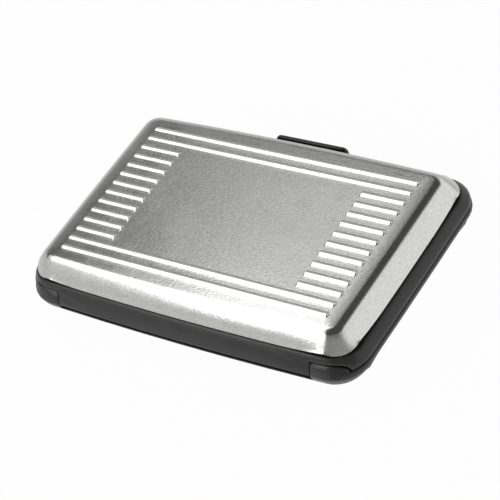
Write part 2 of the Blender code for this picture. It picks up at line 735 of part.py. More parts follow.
def build():
    """Make the whole case."""
    for obj in list(bpy.data.objects):
        bpy.data.objects.remove(obj, do_unlink=True)

    aluminium = material("satin_aluminium", (0.62, 0.62, 0.61), 0.32, 1.0)
    plastic = material("black_plastic", (0.045, 0.045, 0.043), 0.42, 0.0)
    steel = material("steel_wire", (0.58, 0.58, 0.57), 0.3, 1.0)
    film = material("pocket_film", (0.06, 0.06, 0.065), 0.35, 0.0)
    foam = material("mounting_tape", (0.75, 0.75, 0.72), 0.8, 0.0)

    hinge = axis_empty("hinge_axis", HINGE_Y, HINGE_Z)
    latch = axis_empty("latch_axis", LATCH_Y, LATCH_Z)

    cover("lower_cover", -1, aluminium)
    lower_frame(plastic)
    hinge_pins(steel)
    tape("tape_lower", -1, foam)
    leaf("pocket_sheet_lower", 0, film)
    end_gusset("gusset_left", -1, film)
    end_gusset("gusset_right", 1, film)
    front_gusset("gusset_front", film)

    lid = [cover("upper_cover", 1, aluminium), upper_frame(plastic)]
    pin_half = LATCH_PIN_LENGTH / 2
    lid.append(rod("latch_pin", LATCH_Y, LATCH_Z, LATCH_PIN_RADIUS, [(-pin_half, pin_half)], steel, steps=12))
    lid.append(latch_spring(steel))
    lid.append(tape("tape_upper", 1, foam))
    lid.append(leaf("pocket_sheet_upper", POCKETS, film))
    for index in range(1, POCKETS):
        lid.append(leaf("divider_" + str(index), index, film))
    for obj in lid:
        hang(obj, hinge)
    hang(latch_lever(plastic), latch)


build()
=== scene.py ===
"""Credit card case: pressed covers, pocket fan, finishes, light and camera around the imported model.

The file is laid out as an add-on and is run as a script. X runs along the hinge, +Y points
to the latch, +Z is up, and lengths are in metres.
"""

from math import acos, atan2, cos, hypot, pi, radians, sin

import bmesh
import bpy
from bpy.props import FloatProperty, FloatVectorProperty, IntProperty, PointerProperty
from bpy.types import Operator, Panel, PropertyGroup
from mathutils import Matrix, Vector


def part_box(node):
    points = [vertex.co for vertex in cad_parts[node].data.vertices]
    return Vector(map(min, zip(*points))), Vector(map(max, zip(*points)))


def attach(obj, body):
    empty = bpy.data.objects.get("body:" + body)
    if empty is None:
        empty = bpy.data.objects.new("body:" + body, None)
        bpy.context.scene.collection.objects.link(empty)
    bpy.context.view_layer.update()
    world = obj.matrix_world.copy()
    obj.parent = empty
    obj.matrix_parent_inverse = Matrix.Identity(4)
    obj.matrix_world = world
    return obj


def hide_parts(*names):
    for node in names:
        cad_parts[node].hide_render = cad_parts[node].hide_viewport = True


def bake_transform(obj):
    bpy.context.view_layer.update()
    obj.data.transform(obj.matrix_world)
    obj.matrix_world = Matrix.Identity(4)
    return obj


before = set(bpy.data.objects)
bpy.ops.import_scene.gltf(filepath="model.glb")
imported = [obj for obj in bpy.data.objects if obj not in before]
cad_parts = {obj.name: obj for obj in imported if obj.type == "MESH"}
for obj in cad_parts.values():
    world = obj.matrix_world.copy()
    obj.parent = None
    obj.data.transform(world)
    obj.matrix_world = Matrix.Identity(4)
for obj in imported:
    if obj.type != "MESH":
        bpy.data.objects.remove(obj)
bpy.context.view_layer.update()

bl_info = {
    "name": "Card Case",
    "version": (1, 0, 0),
    "blender": (4, 5, 0),
    "location": "3D View > Sidebar > Card Case",
    "description": "Presses the covers, folds the pocket fan and finishes a hinged card case",
    "category": "Object",
}

MM = 0.001

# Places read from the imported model
FRAME_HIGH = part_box("upper_frame")[1]
COVER_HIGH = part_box("upper_cover")[1]
BASE_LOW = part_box("lower_cover")[0]
LOWER_SHEET_LOW, LOWER_SHEET_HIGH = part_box("pocket_sheet_lower")
UPPER_SHEET_LOW, UPPER_SHEET_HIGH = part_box("pocket_sheet_upper")
LATCH_PIN_LOW, LATCH_PIN_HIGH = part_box("latch_pin")
SPRING_LOW, SPRING_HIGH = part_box("latch_spring")

# Sizes of the whole case; the margin is how far the frames stand out past the covers' edges
FRAME_MARGIN = 2.1 * MM
HALF_LENGTH = FRAME_HIGH.x
HALF_DEPTH = COVER_HIGH.y + FRAME_MARGIN
MIDDLE = (COVER_HIGH.z + BASE_LOW.z) / 2

# The pocket fan, between its outer leaves
DIVIDERS = 6
FAN_START = (LOWER_SHEET_LOW.z + LOWER_SHEET_HIGH.z) / 2
FAN_END = (UPPER_SHEET_LOW.z + UPPER_SHEET_HIGH.z) / 2

# The camera, above the front right corner and leaning so that the case lies across the frame
CAMERA_PLACE = (0.30938, -0.25907, 0.36504)
CAMERA_AZIMUTH = radians(50.12)
CAMERA_ELEVATION = radians(41.63)
CAMERA_LEAN = radians(-24.69)
SENSOR_WIDTH = 36.0

# The long soft lamp, seen from the case
KEY_DIRECTION = (-0.56, -0.32, 0.76)
KEY_ALONG = (0.04, -1.23, -0.51)
KEY_DISTANCE = 0.65

# Headings in the room, seen from the case, and the pale gap's half angles
UPWARDS = (-0.12, 0.0, 1.0)
RIGHTWARDS = (1.0, 0.0, 0.0)
VIEWER_HEADING = (0.35, -0.8, 0.48)
GAP_HEADING = (-0.505, 0.5, 0.704)
GAP_INNER = radians(1)
GAP_OUTER = radians(9)
FLOOR_FRONT = (0.7, -0.7, 0.0)

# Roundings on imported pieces, and the least angle of an edge that gets one
PIN_ROUNDING = 0.05 * MM
TAPE_ROUNDING = 0.06 * MM
ROUNDED_ANGLE = radians(40)

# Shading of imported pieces: the most angle of a smooth edge, and the samples that soften moulded edges
GENTLE_ANGLE = radians(32)
SOFTENING_SAMPLES = 6

# How close two vertices are when they become one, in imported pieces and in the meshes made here
WELD_REACH = 0.001 * MM
MERGE_REACH = 0.0005 * MM

# The range that nearly all noise values fall in
NOISE_LOW = 0.3
NOISE_HIGH = 0.7


# Settings that a user would change


def length_setting(name, description, default):
    """Return a property for a length in metres."""
    return FloatProperty(
        name=name,
        description=description,
        default=default,
        min=0.0,
        precision=5,
        subtype="DISTANCE",
        unit="LENGTH",
    )


def colour_setting(name, description, default):
    """Return a property for a linear colour."""
    return FloatVectorProperty(
        name=name, description=description, default=default, min=0.0, max=1.0, size=3, subtype="COLOR"
    )


def share_setting(name, description, default):
    """Return a property for a share from 0 to 1."""
    return FloatProperty(
        name=name, description=description, default=default, min=0.0, max=1.0, subtype="FACTOR"
    )


def light_setting(name, description, default):
    """Return a property for the strength of a light."""
    return FloatProperty(name=name, description=description, default=default, min=0.0)


def count_setting(name, description, default, least, most):
    """Return a property for a number of copies."""
    return IntProperty(name=name, description=description, default=default, min=least, max=most)


class CoverSettings(PropertyGroup):
    """Sizes and finish of the two pressed covers."""

    sheet: length_setting("Sheet", "Thickness of the aluminium sheet", 0.6 * MM)
    edge_drop: length_setting("Edge drop", "Height of the drawn rim under the flat", 5.7 * MM)
    rim_width: length_setting("Rim width", "Width of the drawn rim at the short ends", 5.6 * MM)
    side_share: share_setting("Side share", "Rim width along the long sides, as a share of that", 0.9)
    crease_radius: length_setting("Crease radius", "Radius of the crease beside the flat", 3.0 * MM)
    corner_radius: length_setting("Corner radius", "Radius of the cover's corners in plan", 7.3 * MM)
    side_bow: length_setting("Side bow", "How far the long sides fall back at the case's ends", 1.1 * MM)
    end_bow: length_setting("End bow", "How far the short ends fall back at the case's sides", 0.2 * MM)
    corner_lift: length_setting("Corner lift", "How far the edge is drawn up beside a corner", 0.9 * MM)
    end_crown: length_setting("End crown", "How far the sheet falls away past the ribs' ends", 0.28 * MM)
    side_crown: length_setting("Side crown", "How far the sheet falls away beside the ribs", 0.13 * MM)
    rib_height: length_setting("Rib height", "Height of a rib over the flat", 0.4 * MM)
    rib_width: length_setting("Rib width", "Width of a rib's crest", 1.45 * MM)
    rib_foot: share_setting("Rib foot", "Share of a rib's height that spreads out into the flat", 0.17)
    rib_rows: count_setting("Rib rows", "Number of rows of ribs", 14, 6, 24)
    long_rows: count_setting("Long rows", "Rows of full length at each side", 2, 0, 3)
    short_rib: length_setting("Short rib", "Length of a short rib", 14.3 * MM)
    end_margin: length_setting("End margin", "From the flat's end to the ribs", 3.3 * MM)
    side_margin: length_setting("Side margin", "From the flat's side to the outermost rib", 3.6 * MM)
    colour: colour_setting("Metal colour", "Colour of the bare aluminium", (0.62, 0.62, 0.61))
    roughness: share_setting("Roughness", "How matt the satin metal is", 0.185)
    grain: length_setting("Grain", "Size of the satin grain", 0.55 * MM)
    grain_depth: length_setting("Grain depth", "Depth of the satin grain", 0.017 * MM)


class MouldingSettings(PropertyGroup):
    """Finish of the black mouldings and of the steel pins."""

    colour: colour_setting("Plastic colour", "Colour of the moulded plastic", (0.019, 0.019, 0.018))
    roughness: share_setting("Roughness", "How matt the moulded surface is", 0.3)
    grain: length_setting("Grain", "Size of the moulded grain", 0.16 * MM)
    grain_depth: length_setting("Grain depth", "Depth of the moulded grain", 0.002 * MM)
    edge_rounding: length_setting("Edge rounding", "Width of the rounding on moulded edges", 0.12 * MM)
    edge_softness: length_setting("Edge softness", "Radius that moulded edges seem to have", 0.5 * MM)
    steel_colour: colour_setting("Steel colour", "Colour of the pins and the spring", (0.58, 0.58, 0.57))


class PocketSettings(PropertyGroup):
    """Sizes and finish of the pocket fan."""

    film: length_setting("Film", "Thickness of the pleated film", 0.25 * MM)
    fold_depth: length_setting("Fold depth", "How far each pleat stands out", 1.2 * MM)
    hem: length_setting("Hem", "Width of the welded hem along a leaf's edges", 1.6 * MM)
    mouth_radius: length_setting("Mouth radius", "Radius of a leaf's corners at its mouth", 2.5 * MM)
    colour: colour_setting("Film colour", "Colour of the pocket film", (0.06, 0.06, 0.065))
    tape_colour: colour_setting("Tape colour", "Colour of the foam tape", (0.75, 0.75, 0.72))


class StageSettings(PropertyGroup):
    """Floor, light and camera."""

    floor_radius: length_setting("Floor radius", "Radius of the pale floor", 3.0)
    floor_colour: colour_setting("Floor colour", "Colour of the floor", (0.9, 0.9, 0.9))
    seen_glow: share_setting("Seen glow", "How much of the floor glows white to the camera", 0.975)
    front_glow: share_setting("Front glow", "How much of the front floor glows white in the metal", 1.0)
    back_glow: share_setting("Back glow", "How much of the back floor glows white in the metal", 0.3)
    key_light: light_setting("Key light", "Power of the long soft lamp", 2.5)
    key_length: length_setting("Key length", "Length of the soft lamp", 1.17)
    key_width: length_setting("Key width", "Width of the soft lamp", 0.28)
    near_wall: share_setting("Near wall", "Brightness of the room's wall on the right", 1.0)
    far_wall: share_setting("Far wall", "Brightness of the room's wall on the left", 0.62)
    viewer_wall: share_setting("Viewer wall", "Share of the walls' light behind the viewer", 0.3)
    ceiling: share_setting("Ceiling", "Brightness of the room overhead", 0.075)
    gap_light: light_setting("Gap light", "Brightness of the ceiling's pale gap", 0.95)
    lens: FloatProperty(name="Lens", description="Camera's focal length", default=144.0, unit="CAMERA")


# Procedural finishes


def new_finish(name, colour, roughness, metallic=0.0):
    """Make a material with one Principled shader, and return it with its tree and shader."""
    made = bpy.data.materials.new(name)
    made.use_nodes = True
    shader = made.node_tree.nodes["Principled BSDF"]
    shader.inputs["Base Color"].default_value = (*colour, 1.0)
    shader.inputs["Roughness"].default_value = roughness
    shader.inputs["Metallic"].default_value = metallic
    return made, made.node_tree, shader


def noise(tree, size, detail=2.0, stretch=(1.0, 1.0, 1.0)):
    """Add noise with features of one size in the piece's own space, and return its value."""
    place = tree.nodes.new("ShaderNodeTexCoord")
    mapping = tree.nodes.new("ShaderNodeMapping")
    mapping.inputs["Scale"].default_value = [1.0 / (size * factor) for factor in stretch]
    texture = tree.nodes.new("ShaderNodeTexNoise")
    texture.inputs["Scale"].default_value = 1.0
    texture.inputs["Detail"].default_value = detail
    tree.links.new(place.outputs["Object"], mapping.inputs["Vector"])
    tree.links.new(mapping.outputs["Vector"], texture.inputs["Vector"])
    return texture.outputs["Fac"]


def spread(tree, value, low, high):
    """Stretch a noise value over a range, and return it."""
    node = tree.nodes.new("ShaderNodeMapRange")
    node.inputs["From Min"].default_value = NOISE_LOW
    node.inputs["From Max"].default_value = NOISE_HIGH
    node.inputs["To Min"].default_value = low
    node.inputs["To Max"].default_value = high
    tree.links.new(value, node.inputs["Value"])
    return node.outputs["Result"]


def shade(tree, shader, value, colour, dark, light):
    """Vary the base colour between a darker and a lighter share of itself."""
    mix = tree.nodes.new("ShaderNodeMix")
    mix.data_type = "RGBA"
    mix.inputs["A"].default_value = (*[channel * dark for channel in colour], 1.0)
    mix.inputs["B"].default_value = (*[min(1.0, channel * light) for channel in colour], 1.0)
    tree.links.new(spread(tree, value, 0.0, 1.0), mix.inputs["Factor"])
    tree.links.new(mix.outputs["Result"], shader.inputs["Base Color"])


def roughen(tree, shader, value, low, high):
    """Vary the roughness between two values."""
    tree.links.new(spread(tree, value, low, high), shader.inputs["Roughness"])


def relief(tree, shader, layers, edge_softness=0.0):
    """Add bumps, as (noise value, depth) pairs, one on the other, over softened edges if wanted."""
    below = None
    if edge_softness:
        soften = tree.nodes.new("ShaderNodeBevel")
        soften.samples = SOFTENING_SAMPLES
        soften.inputs["Radius"].default_value = edge_softness
        below = soften.outputs["Normal"]
    for value, depth in layers:
        bump = tree.nodes.new("ShaderNodeBump")
        bump.inputs["Strength"].default_value = 1.0
        bump.inputs["Distance"].default_value = depth
        tree.links.new(value, bump.inputs["Height"])
        if below:
            tree.links.new(below, bump.inputs["Normal"])
        below = bump.outputs["Normal"]
    tree.links.new(below, shader.inputs["Normal"])


def satin_aluminium(settings):
    """Make the covers' bare metal: satin grain, small bright flecks and faint patches of unlike gloss."""
    made, tree, shader = new_finish(
        "satin_aluminium_finish", settings.colour, settings.roughness, metallic=1.0
    )
    fleck_size = settings.grain * 0.8
    patch_size = settings.grain * 14
    grain = noise(tree, settings.grain, stretch=(1.5, 0.8, 1.0))
    flecks = noise(tree, fleck_size, detail=1.0, stretch=(1.4, 0.9, 1.0))
    patches = noise(tree, patch_size)
    shade(tree, shader, flecks, settings.colour, dark=0.9, light=1.08)
    roughen(tree, shader, patches, low=settings.roughness - 0.02, high=settings.roughness + 0.03)
    relief(tree, shader, [(grain, settings.grain_depth)])
    return made


def black_plastic(settings):
    """Make the frames' plastic: a fine moulded grain with slightly uneven gloss."""
    made, tree, shader = new_finish("black_plastic_finish", settings.colour, settings.roughness)
    patch_size = settings.grain * 30
    grain = noise(tree, settings.grain)
    patches = noise(tree, patch_size, detail=3.0)
    shade(tree, shader, patches, settings.colour, dark=0.85, light=1.2)
    roughen(tree, shader, patches, low=settings.roughness - 0.04, high=settings.roughness + 0.05)
    relief(tree, shader, [(grain, settings.grain_depth)], settings.edge_softness)
    return made


def drawn_steel(settings):
    """Make the pins' and spring's steel, with fine lines along the wire."""
    line_width = 0.08 * MM
    line_depth = 0.002 * MM
    made, tree, shader = new_finish(
        "steel_wire_finish", settings.steel_colour, roughness=0.24, metallic=1.0
    )
    lines = noise(tree, line_width, stretch=(14.0, 1.0, 1.0))
    shade(tree, shader, lines, settings.steel_colour, dark=0.88, light=1.08)
    roughen(tree, shader, lines, low=0.18, high=0.32)
    relief(tree, shader, [(lines, line_depth)])
    return made


def pocket_film(settings):
    """Make the pockets' dark film: smooth, with slow waves and small scuffs from cards."""
    wave_size, wave_depth = 9 * MM, 0.12 * MM
    scuff_size, scuff_depth = 0.5 * MM, 0.002 * MM
    made, tree, shader = new_finish("pocket_film_finish", settings.colour, roughness=0.35)
    waves = noise(tree, wave_size, detail=1.0, stretch=(1.0, 1.6, 1.0))
    scuffs = noise(tree, scuff_size, detail=3.0, stretch=(1.0, 9.0, 1.0))
    shade(tree, shader, scuffs, settings.colour, dark=0.9, light=1.25)
    roughen(tree, shader, scuffs, low=0.3, high=0.42)
    relief(tree, shader, [(waves, wave_depth), (scuffs, scuff_depth)])
    return made


def foam_tape(settings):
    """Make the foam tape: matt, with fine open cells."""
    cell_size, cell_depth = 0.25 * MM, 0.04 * MM
    made, tree, shader = new_finish("mounting_tape_finish", settings.tape_colour, roughness=0.85)
    cells = noise(tree, cell_size, detail=3.0)
    shade(tree, shader, cells, settings.tape_colour, dark=0.85, light=1.05)
    relief(tree, shader, [(cells, cell_depth)])
    return made


# Shared mesh work


def finish_object(name, bm, finish, smooth_angle):
    """Turn a bmesh into an object with one finish, smooth across edges up to an angle."""
    bmesh.ops.remove_doubles(bm, verts=bm.verts, dist=MERGE_REACH)
    bmesh.ops.recalc_face_normals(bm, faces=bm.faces)
    mesh = bpy.data.meshes.new(name)
    bm.to_mesh(mesh)
    bm.free()
    mesh.shade_smooth()
    mesh.set_sharp_from_angle(angle=smooth_angle)
    mesh.materials.append(finish)
    obj = bpy.data.objects.new(name, mesh)
    bpy.context.scene.collection.objects.link(obj)
    return obj


def shading_group():
    """Return a node group that shades faces smooth across gentle edges and keeps the others sharp."""
    group = bpy.data.node_groups.new("smooth_by_edge_angle", "GeometryNodeTree")
    group.interface.new_socket("Geometry", in_out="INPUT", socket_type="NodeSocketGeometry")
    group.interface.new_socket("Geometry", in_out="OUTPUT", socket_type="NodeSocketGeometry")
    entry = group.nodes.new("NodeGroupInput")
    result = group.nodes.new("NodeGroupOutput")
    faces = group.nodes.new("GeometryNodeSetShadeSmooth")
    edges = group.nodes.new("GeometryNodeSetShadeSmooth")
    edges.domain = "EDGE"
    angle = group.nodes.new("GeometryNodeInputMeshEdgeAngle")
    gentle = group.nodes.new("FunctionNodeCompare")
    gentle.operation = "LESS_EQUAL"
    gentle.inputs[1].default_value = GENTLE_ANGLE
    group.links.new(entry.outputs[0], faces.inputs["Geometry"])
    group.links.new(faces.outputs["Geometry"], edges.inputs["Geometry"])
    group.links.new(angle.outputs["Unsigned Angle"], gentle.inputs[0])
    group.links.new(gentle.outputs["Result"], edges.inputs["Shade Smooth"])
    group.links.new(edges.outputs["Geometry"], result.inputs[0])
    return group


def finish_node(name, finish, rounding, group):
    """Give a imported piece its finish, small roundings on its edges and smooth shading."""
    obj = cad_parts[name]
    obj.data.materials.clear()
    obj.data.materials.append(finish)
    weld = obj.modifiers.new("weld", "WELD")
    weld.merge_threshold = WELD_REACH
    if rounding:
        bevel = obj.modifiers.new("rounding", "BEVEL")
        bevel.width = rounding
        bevel.segments = 2
        bevel.limit_method = "ANGLE"
        bevel.angle_limit = ROUNDED_ANGLE
    shading = obj.modifiers.new("shading", "NODES")
    shading.node_group = group


# Pressed covers


class RimSection:
    """The cover's rim in section: a crease arc from the flat, then a wide arc down to the edge.

    Insets run inwards from the cover's edge, and drops run down from the flat.
    """

    CREASE_SWEEP = radians(46)
    CREASE_STEPS = 8
    WIDE_STEPS = 8

    def __init__(self, settings):
        self.width = settings.rim_width
        self.drop = settings.edge_drop
        self.crease = settings.crease_radius
        sweep = self.CREASE_SWEEP
        self.knee_inset = self.width - self.crease * sin(sweep)
        self.knee_drop = self.crease * (1 - cos(sweep))
        rise = self.drop - self.knee_drop
        chord = atan2(rise, self.knee_inset)
        self.radius = hypot(rise, self.knee_inset) / (2 * sin(chord - sweep))
        self.centre_inset = self.knee_inset + self.radius * sin(sweep)
        self.centre_drop = self.knee_drop + self.radius * cos(sweep)

    def points(self, depth):
        """Return (inset, drop) points on a surface at a depth under the outer one."""
        found = []
        crease = self.crease - depth
        for step in range(self.CREASE_STEPS + 1):
            angle = self.CREASE_SWEEP * step / self.CREASE_STEPS
            found.append((self.width - crease * sin(angle), self.crease - crease * cos(angle)))
        knee = found[-1][1]
        wide = self.radius - depth
        for step in range(1, self.WIDE_STEPS + 1):
            drop = knee + (self.drop - knee) * step / self.WIDE_STEPS
            angle = acos((self.centre_drop - drop) / wide)
            found.append((self.centre_inset - wide * sin(angle), drop))
        return found


def eased(share):
    """Return a share held between 0 and 1 that starts and ends softly."""
    held = min(1.0, max(0.0, share))
    return held * held * (3 - 2 * held)


class CoverPlan:
    """The cover seen from above: its stations, its outline at any inset, and its ribs."""

    CORNER_STEPS = 14

    # How far from a corner the edge starts to rise
    LIFT_RUN = 14 * MM

    # How far inside the cover's edge the crown starts, and how far it runs
    CROWN_INSET = 9.3 * MM
    CROWN_RUN = 5.3 * MM

    # From a rib's end to its spine's, as a share of the rib's width
    SPINE_INSET = 0.36

    # Length of the slope past a spine's end, as a share of half the rib's width
    END_TAPER = 0.6

    # From a spine's end back to the first close station, as a share of half the rib's width
    STATION_INSET = 0.2

    # From a spine to the foot's edge, as a share of the pitch
    FOOT_REACH = 0.48

    def __init__(self, settings):
        self.settings = settings
        self.half_x = HALF_LENGTH - FRAME_MARGIN
        self.half_y = COVER_HIGH.y
        self.run_x = self.half_x - settings.corner_radius
        self.run_y = self.half_y - settings.corner_radius
        self.reach = self.half_x - settings.rim_width - settings.end_margin
        side = self.half_y - settings.rim_width - settings.side_margin
        self.pitch = 2 * side / (settings.rib_rows - 1)
        self.spines = self.rib_spines()
        self.xs = self.x_stations()
        self.ys = self.y_stations()

    def side_bow(self, x):
        """Return how far a long side falls back at a place along it."""
        return self.settings.side_bow * (x / HALF_LENGTH) ** 2

    def end_bow(self, y):
        """Return how far a short end falls back at a place along it."""
        return self.settings.end_bow * (y / HALF_DEPTH) ** 2

    def rib_spines(self):
        """Return (low x, high x, y) of each rib's middle line."""
        rows = self.settings.rib_rows
        inset = self.settings.rib_width * self.SPINE_INSET
        outer = self.reach - inset
        inner = self.reach - self.settings.short_rib + inset
        spines = []
        for row in range(rows):
            y = ((rows - 1) / 2 - row) * self.pitch
            if self.settings.long_rows <= row < rows - self.settings.long_rows:
                spines += [(-outer, -inner, y), (inner, outer, y)]
            else:
                spines.append((-outer, outer, y))
        return spines

    def rib_rise(self, x, y):
        """Return how high the ribs stand at a place: a round crest with a low foot on the hinge side."""
        half = self.settings.rib_width / 2
        low_share = self.settings.rib_foot
        rise = 0.0
        for low, high, row in self.spines:
            foot = self.pitch * self.FOOT_REACH if y < row else half
            if abs(y - row) < foot:
                away = max(low - x, 0.0, x - high) / (half * self.END_TAPER)
                crest = min(1.0, hypot(away, (y - row) / half))
                flank = min(1.0, hypot(away, (y - row) / foot))
                shape = (1 - low_share) * (1 - crest * crest) ** 2 + low_share * (1 - flank * flank) ** 2
                rise = max(rise, self.settings.rib_height * shape)
        return rise

    def x_stations(self):
        """Return places along X, close together where ribs end."""
        end_steps = 8
        rib_steps = 5
        middle_steps = 6
        beside = 0.1 * MM
        half = self.settings.rib_width / 2
        taper = half * self.END_TAPER
        inset = half * self.STATION_INSET
        ends = {round(abs(value), 7) for low, high, y in self.spines for value in (low, high)}
        inner, outer = sorted(ends)
        places = []
        for start in (inner - taper, outer - inset):
            places += [start + (taper + inset) * i / end_steps for i in range(end_steps + 1)]
        places += [inner - taper - beside, inner - taper - 2 * beside, outer + taper + beside]
        rib_run = outer - inner - 2 * inset
        places += [inner + inset + rib_run * i / rib_steps for i in range(1, rib_steps)]
        middle_run = inner - taper - 2 * beside
        places += [middle_run * i / middle_steps for i in range(1, middle_steps)]
        places.append(self.run_x)
        places = sorted(places)
        return [-x for x in reversed(places)] + [0.0] + places

    def y_stations(self):
        """Return places along Y, close together across each rib."""
        crest_steps = 5
        flank_steps = 3
        half = self.settings.rib_width / 2
        foot = self.pitch * self.FOOT_REACH
        rows = sorted({y for low, high, y in self.spines})
        crest = [half * i / crest_steps for i in range(-crest_steps, crest_steps + 1)]
        flank = [half + (foot - half) * i / flank_steps for i in range(1, flank_steps + 1)]
        steps = [-step for step in reversed(flank)] + crest + flank
        places = [row + step for row in rows for step in steps]
        return [-self.run_y] + places + [self.run_y]

    def outline(self, inset):
        """Return the outline at an inset, anticlockwise from the front's left end."""
        reach_x = self.settings.corner_radius - inset
        reach_y = self.settings.corner_radius - inset * self.settings.side_share
        half_x = self.run_x + reach_x
        half_y = self.run_y + reach_y

        def corner(side_x, side_y, start):
            points = []
            for step in range(1, self.CORNER_STEPS):
                angle = start + pi / 2 * step / self.CORNER_STEPS
                x = side_x * self.run_x + reach_x * cos(angle)
                y = side_y * self.run_y + reach_y * sin(angle)
                points.append((x - self.end_bow(y) * cos(angle), y - self.side_bow(x) * sin(angle)))
            return points

        points = [(x, -half_y + self.side_bow(x)) for x in self.xs]
        points += corner(1, -1, -pi / 2)
        points += [(half_x - self.end_bow(y), y) for y in self.ys]
        points += corner(1, 1, 0)
        points += [(x, half_y - self.side_bow(x)) for x in reversed(self.xs)]
        points += corner(-1, 1, pi / 2)
        points += [(self.end_bow(y) - half_x, y) for y in reversed(self.ys)]
        points += corner(-1, -1, pi)
        return points

    def corner_lift(self, x, y):
        """Return how far the edge is drawn up: most beside each corner, and not at its tip."""
        past_x = abs(x) - self.run_x
        past_y = abs(y) - self.run_y
        if past_x > 0 and past_y > 0:
            share = 1 - abs(sin(2 * atan2(past_y, past_x)))
        else:
            share = max(0.0, 1 + min(past_x, past_y) / self.LIFT_RUN) ** 2
        return self.settings.corner_lift * share

    def crown(self, x, y, drop):
        """Return how far the sheet falls away outside the ribs, which ends at the cover's edge."""
        past_x = abs(x) - self.half_x + self.CROWN_INSET
        past_y = abs(y) - self.half_y + self.CROWN_INSET
        fall_x = self.settings.end_crown * eased(past_x / self.CROWN_RUN)
        fall_y = self.settings.side_crown * eased(past_y / self.CROWN_RUN)
        return hypot(fall_x, fall_y) * (1 - (drop / self.settings.edge_drop) ** 2)

    def panel_point(self, x, y):
        """Return a grid point of the ribbed flat, with the grid's edge bowed like the cover's side."""
        if abs(x) == self.run_x:
            x -= (1 if x > 0 else -1) * self.end_bow(y)
        if abs(y) == self.run_y:
            y -= (1 if y > 0 else -1) * self.side_bow(x)
        return x, y


def cover_skin(bm, plan, up, insets, depth):
    """Make one skin of a cover, the ribbed flat with its rim, and return the skin's outermost loop."""
    flat = MIDDLE + up * (COVER_HIGH.z - MIDDLE - plan.settings.rib_height - depth)
    rows = []
    for y in plan.ys:
        row = []
        for x in plan.xs:
            place = plan.panel_point(x, y)
            rise = plan.rib_rise(x, y) - plan.crown(*place, 0.0)
            row.append(bm.verts.new((*place, flat + up * rise)))
        rows.append(row)
    for lower, upper in zip(rows, rows[1:]):
        for i in range(len(lower) - 1):
            bm.faces.new((lower[i], lower[i + 1], upper[i + 1], upper[i]))
    gap = plan.CORNER_STEPS - 1
    columns = list(zip(*rows))
    border = rows[0] + [rows[0][-1]] * gap
    border += list(columns[-1]) + [rows[-1][-1]] * gap
    border += rows[-1][::-1] + [rows[-1][0]] * gap
    border += list(columns[0])[::-1] + [rows[0][0]] * gap
    for inset, drop in insets:
        fade = (drop / plan.settings.edge_drop) ** 3
        loop = []
        for x, y in plan.outline(inset):
            lift = fade * plan.corner_lift(x, y) - plan.crown(x, y, max(0.0, drop - depth))
            loop.append(bm.verts.new((x, y, flat + up * (depth - drop + lift))))
        join_loops(bm, border, loop)
        border = loop
    return border


def join_loops(bm, inner, outer):
    """Skin two closed loops of equal length, with triangles where the inner one stands still."""
    count = len(inner)
    for i in range(count):
        j = (i + 1) % count
        corners = [outer[i], outer[j], inner[j], inner[i]]
        if outer[i] is outer[j]:
            continue
        if inner[i] is inner[j]:
            corners.pop()
        bm.faces.new(corners)


def pressed_cover(name, node, up, body, settings, finish):
    """Make a cover as one closed sheet: outer skin, rounded cut edge and inner skin."""
    edge_rounding = 0.12 * MM
    edge_lean = 0.02 * MM
    plan = CoverPlan(settings)
    rim = RimSection(settings)
    sheet = settings.sheet
    shelf = (settings.rim_width + settings.corner_radius) / 2
    bm = bmesh.new()
    outside = [(shelf, 0.0)] + rim.points(0.0)
    last_inset, last_drop = outside[-1]
    outside[-1] = (last_inset + edge_lean, last_drop - edge_rounding)
    outside.append((last_inset + edge_rounding, last_drop))
    outer_edge = cover_skin(bm, plan, up, outside, 0.0)
    inside = [(shelf, sheet)] + rim.points(sheet)
    inner_edge = cover_skin(bm, plan, up, inside, sheet)
    join_loops(bm, inner_edge, outer_edge)
    obj = finish_object(name, bm, finish, smooth_angle=radians(50))
    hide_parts(node)
    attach(obj, body)


class CARDCASE_OT_press_covers(Operator):
    """Press both aluminium covers with their ribs and drawn rims"""

    bl_idname = "card_case.press_covers"
    bl_label = "Press Covers"

    def execute(self, context):
        settings = context.scene.card_case_covers
        finish = satin_aluminium(settings)
        pressed_cover("upper_cover_sheet", "upper_cover", 1, "lid", settings, finish)
        pressed_cover("lower_cover_sheet", "lower_cover", -1, "base", settings, finish)
        return {"FINISHED"}


class CARDCASE_OT_finish_mouldings(Operator):
    """Finish both frames and the latch lever as moulded black plastic"""

    bl_idname = "card_case.finish_mouldings"
    bl_label = "Finish Mouldings"

    def execute(self, context):
        settings = context.scene.card_case_mouldings
        finish = black_plastic(settings)
        group = shading_group()
        for name in ("upper_frame", "lower_frame", "latch_lever"):
            finish_node(name, finish, settings.edge_rounding, group)
        return {"FINISHED"}


class CARDCASE_OT_finish_steel(Operator):
    """Finish the hinge pins and the latch pin, and wind the latch spring"""

    bl_idname = "card_case.finish_steel"
    bl_label = "Finish Steel"

    def execute(self, context):
        settings = context.scene.card_case_mouldings
        finish = drawn_steel(settings)
        group = shading_group()
        for name in ("hinge_pin_left", "hinge_pin_right", "latch_pin"):
            finish_node(name, finish, PIN_ROUNDING, group)
        wound_spring(finish)
        return {"FINISHED"}


